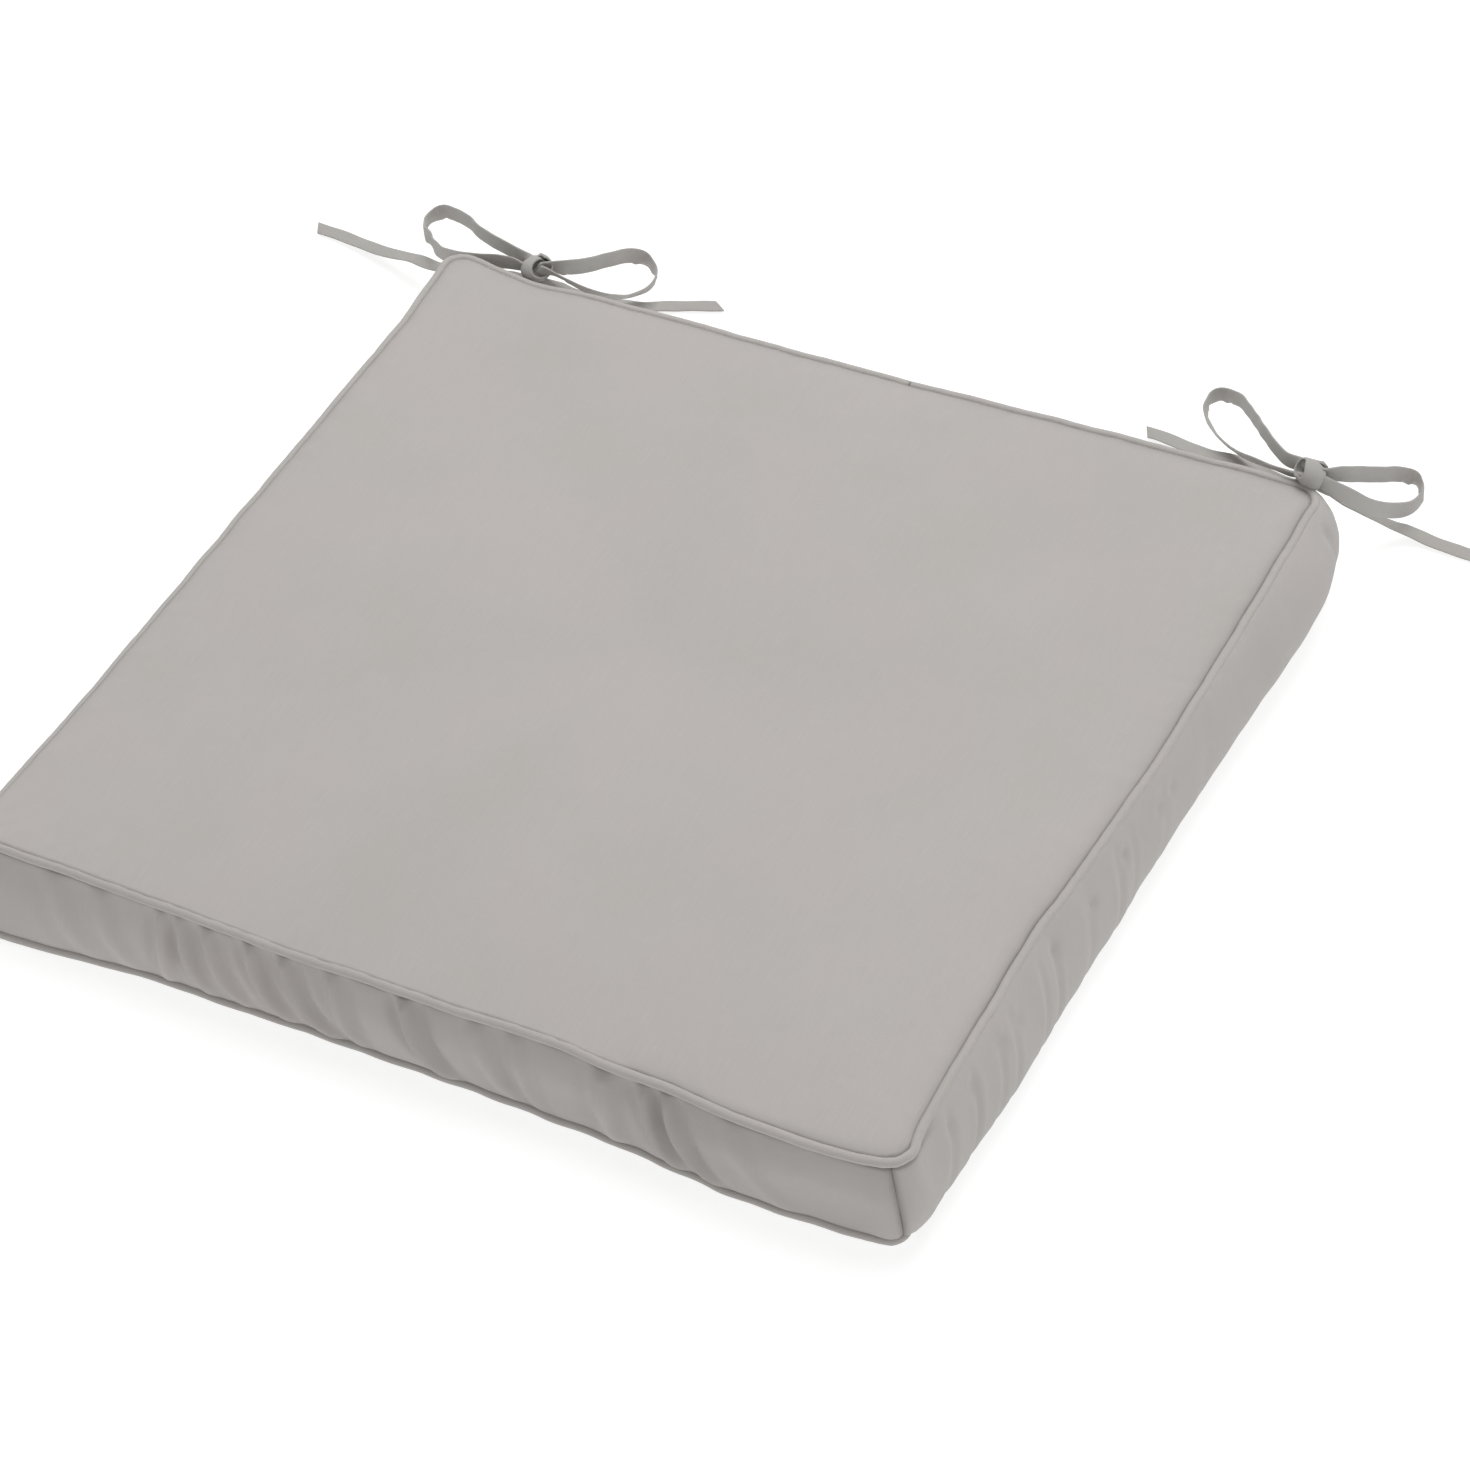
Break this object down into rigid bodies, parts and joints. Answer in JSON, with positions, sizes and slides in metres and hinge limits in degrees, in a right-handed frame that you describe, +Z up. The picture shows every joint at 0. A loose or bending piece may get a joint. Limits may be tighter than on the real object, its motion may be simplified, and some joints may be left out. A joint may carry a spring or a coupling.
{
  "type": "chair seat pad",
  "caption": "Square box-edge seat pad: piped fabric cover with a back zip over a foam core, and a tie strap bow at each back corner.",
  "frame": {"origin": "on the surface that the pad lies on, under the middle of the pad, the tie straps not counted", "axes": "+Z up through the pad, +X to the right along the front edge, +Y towards the back edge, which has the zip and the ties"},
  "size_m": [0.5681, 0.4944, 0.058],
  "materials": {
    "cover_cloth": "plain woven cloth, matt, light grey-beige",
    "piping_cloth": "the cover's cloth, cut on the bias",
    "tie_cloth": "the cover's cloth, folded and stitched flat",
    "zip_tape": "tight woven tape, matched to the cover",
    "foam": "open-cell polyurethane foam",
    "filler_cord": "soft twisted cotton cord",
    "coil_nylon": "nylon monofilament, satin",
    "slider_metal": "satin enamel, matched to the cover"
  },
  "bodies": {
    "pad": {"foam_core": "foam", "top_panel": "cover_cloth", "bottom_panel": "cover_cloth", "front_band": "cover_cloth", "right_band": "cover_cloth", "left_band": "cover_cloth", "back_band_upper": "cover_cloth", "back_band_lower": "cover_cloth", "top_piping_cover": "piping_cloth", "top_piping_cord": "filler_cord", "bottom_piping_cover": "piping_cloth", "bottom_piping_cord": "filler_cord", "zip_tape_upper": "zip_tape", "zip_tape_lower": "zip_tape", "zip_coil_upper": "coil_nylon", "zip_coil_lower": "coil_nylon", "zip_top_stop_upper": "slider_metal", "zip_top_stop_lower": "slider_metal", "zip_bottom_stop": "slider_metal", "left_tie_root": "tie_cloth", "left_tie_knot": "tie_cloth", "left_tie_outer_loop": "tie_cloth", "left_tie_outer_tail": "tie_cloth", "left_tie_inner_loop": "tie_cloth", "left_tie_inner_tail": "tie_cloth", "right_tie_root": "tie_cloth", "right_tie_knot": "tie_cloth", "right_tie_outer_loop": "tie_cloth", "right_tie_outer_tail": "tie_cloth", "right_tie_inner_loop": "tie_cloth", "right_tie_inner_tail": "tie_cloth"},
    "slider": {"zip_slider": "slider_metal"},
    "pull": {"zip_pull": "slider_metal"}
  },
  "joints": [
    {"name": "zip_slide", "type": "slide", "parent": "pad", "child": "slider", "axis": [1, 0, 0], "range_m": [0, 0.31]},
    {"name": "pull_hinge", "type": "hinge", "parent": "slider", "child": "pull", "pos_m": [-0.155, 0.1985, 0.02525], "axis": [0, 0, 1], "range_deg": [0, 175]}
  ]
}
